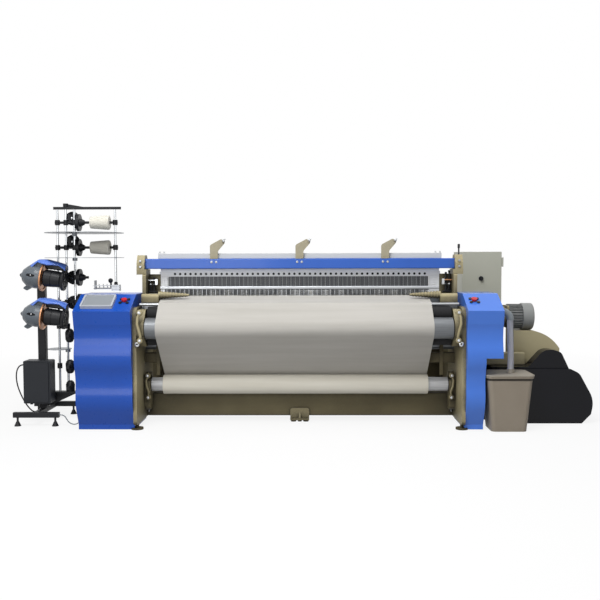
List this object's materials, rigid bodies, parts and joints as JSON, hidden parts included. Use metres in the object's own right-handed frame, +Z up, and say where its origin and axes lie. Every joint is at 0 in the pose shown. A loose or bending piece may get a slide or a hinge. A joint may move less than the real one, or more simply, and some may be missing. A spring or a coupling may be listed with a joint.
{
  "type": "power loom",
  "caption": "Air-jet power loom with front cloth take-up, reed, heald frames, warp beam, electrical cabinet, drive covers, waste bin, and a weft stand with feeders and creel.",
  "frame": {"origin": "on the floor under the jacking screw of the middle foot, between its two pads", "axes": "+X to the right as the weaver faces the cloth, +Y towards the warp beam at the back, +Z up"},
  "size_m": [4.4159, 1.9299, 1.691],
  "materials": {
    "machine_enamel": "satin",
    "black_rubber": "matte",
    "blue_enamel": "gloss",
    "roller_grey": "satin",
    "cloth": "woven",
    "steel": "brushed",
    "aluminium": "satin",
    "red_plastic": "gloss",
    "grey_plastic": "satin",
    "cabinet_grey": "satin",
    "black_plastic": "satin",
    "motor_grey": "satin",
    "bin_brown": "satin",
    "clear_hose": "gloss",
    "black_enamel": "satin",
    "copper": "satin",
    "chrome": "polished"
  },
  "bodies": {
    "frame": {"left_side_frame": "machine_enamel", "right_side_frame": "machine_enamel", "levelling_feet": "black_rubber", "middle_foot": "machine_enamel", "front_lower_beam": "machine_enamel", "front_middle_beam": "machine_enamel", "rear_beams": "machine_enamel", "breast_beam": "steel", "roller_brackets": "machine_enamel", "cloth_roll_brackets": "machine_enamel", "top_beam": "blue_enamel", "top_beam_brackets": "machine_enamel", "hanger_arms": "machine_enamel", "fabric": "cloth", "warp_sheet": "cloth", "warp_stop_motion": "steel", "left_front_cover": "blue_enamel", "right_front_cover": "blue_enamel", "touch_screen": "grey_plastic", "gear_housings": "machine_enamel", "temples": "machine_enamel", "electrical_cabinet": "cabinet_grey", "side_brackets": "machine_enamel", "drive_motor": "motor_grey", "black_drive_cover": "black_plastic", "lower_side_box": "machine_enamel", "belt_cover": "machine_enamel", "waste_bin": "bin_brown", "bin_lid": "grey_plastic", "hose_elbow": "grey_plastic", "suction_hose": "clear_hose", "weft_stand": "black_enamel", "control_box": "black_enamel", "feeder_housings": "grey_plastic", "feeder_drums": "black_plastic", "creel_frame": "chrome", "creel_trays": "grey_plastic", "package_holders": "black_plastic", "yarn_cones": "cloth", "weft_tensioner": "steel", "control_box_cable": "black_rubber", "link_cable": "grey_plastic"},
    "take_up": {"take_up_roller": "roller_grey"},
    "upper_press": {"upper_press_roller": "black_rubber"},
    "lower_press": {"lower_press_roller": "black_rubber"},
    "cloth_winder": {"cloth_roller": "roller_grey", "cloth_roll": "cloth"},
    "warp_supply": {"warp_beam": "aluminium", "warp_roll": "cloth"},
    "back_rest": {"back_rest_roller": "steel"},
    "sley_unit": {"sley": "aluminium", "reed": "steel"},
    "heald_1": {"heald_frame_1": "aluminium"},
    "heald_2": {"heald_frame_2": "aluminium"},
    "door": {"cabinet_door": "cabinet_grey"},
    "switch": {"main_switch": "black_plastic"},
    "left_button": {"left_stop_button": "red_plastic"},
    "right_button": {"right_stop_button": "red_plastic"},
    "upper_winder": {"upper_flyer": "copper"},
    "lower_winder": {"lower_flyer": "copper"}
  },
  "joints": [
    {"name": "take_up_turn", "type": "hinge", "parent": "frame", "child": "take_up", "pos_m": [0, -0.31, 0.75], "axis": [1, 0, 0], "continuous": true},
    {"name": "upper_press_turn", "type": "hinge", "parent": "frame", "child": "upper_press", "pos_m": [0, -0.22296, 0.85228], "axis": [1, 0, 0], "continuous": true},
    {"name": "lower_press_turn", "type": "hinge", "parent": "frame", "child": "lower_press", "pos_m": [0, -0.23331, 0.65861], "axis": [1, 0, 0], "continuous": true},
    {"name": "cloth_roll_turn", "type": "hinge", "parent": "frame", "child": "cloth_winder", "pos_m": [0, -0.03, 0.295], "axis": [1, 0, 0], "continuous": true},
    {"name": "warp_beam_turn", "type": "hinge", "parent": "frame", "child": "warp_supply", "pos_m": [0, 1.1, 0.5], "axis": [1, 0, 0], "continuous": true},
    {"name": "back_rest_turn", "type": "hinge", "parent": "frame", "child": "back_rest", "pos_m": [0, 0.87, 0.9123], "axis": [1, 0, 0], "continuous": true},
    {"name": "sley_rock", "type": "hinge", "parent": "frame", "child": "sley_unit", "pos_m": [0, 0.01, 0.59], "axis": [1, 0, 0], "range_deg": [-11, 0]},
    {"name": "heald_1_lift", "type": "slide", "parent": "frame", "child": "heald_1", "axis": [0, 0, 1], "range_m": [-0.045, 0.045]},
    {"name": "heald_2_lift", "type": "slide", "parent": "frame", "child": "heald_2", "axis": [0, 0, 1], "range_m": [-0.045, 0.045]},
    {"name": "cabinet_door_hinge", "type": "hinge", "parent": "frame", "child": "door", "pos_m": [1.75, 0.829, 0], "axis": [0, 0, 1], "range_deg": [0, 110]},
    {"name": "main_switch_turn", "type": "hinge", "parent": "door", "child": "switch", "pos_m": [1.563, 0.819, 1.084], "axis": [0, -1, 0], "range_deg": [0, 90]},
    {"name": "left_stop_press", "type": "slide", "parent": "frame", "child": "left_button", "axis": [0, -0.4321, 0.9018], "range_m": [-0.005, 0], "stiffness_N_per_m": 600},
    {"name": "right_stop_press", "type": "slide", "parent": "frame", "child": "right_button", "axis": [0, -0.4321, 0.9018], "range_m": [-0.005, 0], "stiffness_N_per_m": 600},
    {"name": "upper_flyer_turn", "type": "hinge", "parent": "frame", "child": "upper_winder", "pos_m": [-1.905, -0.11, 1.117], "axis": [0.9925, 0, -0.1219], "continuous": true},
    {"name": "lower_flyer_turn", "type": "hinge", "parent": "frame", "child": "lower_winder", "pos_m": [-1.905, -0.11, 0.824], "axis": [0.9925, 0, -0.1219], "continuous": true}
  ],
  "couplings": [
    {"joint": "upper_press_turn", "follows": "take_up_turn", "ratio": -1.4364},
    {"joint": "lower_press_turn", "follows": "take_up_turn", "ratio": -1.975},
    {"joint": "cloth_roll_turn", "follows": "take_up_turn", "ratio": -1.0676},
    {"joint": "heald_2_lift", "follows": "heald_1_lift", "ratio": -1}
  ]
}
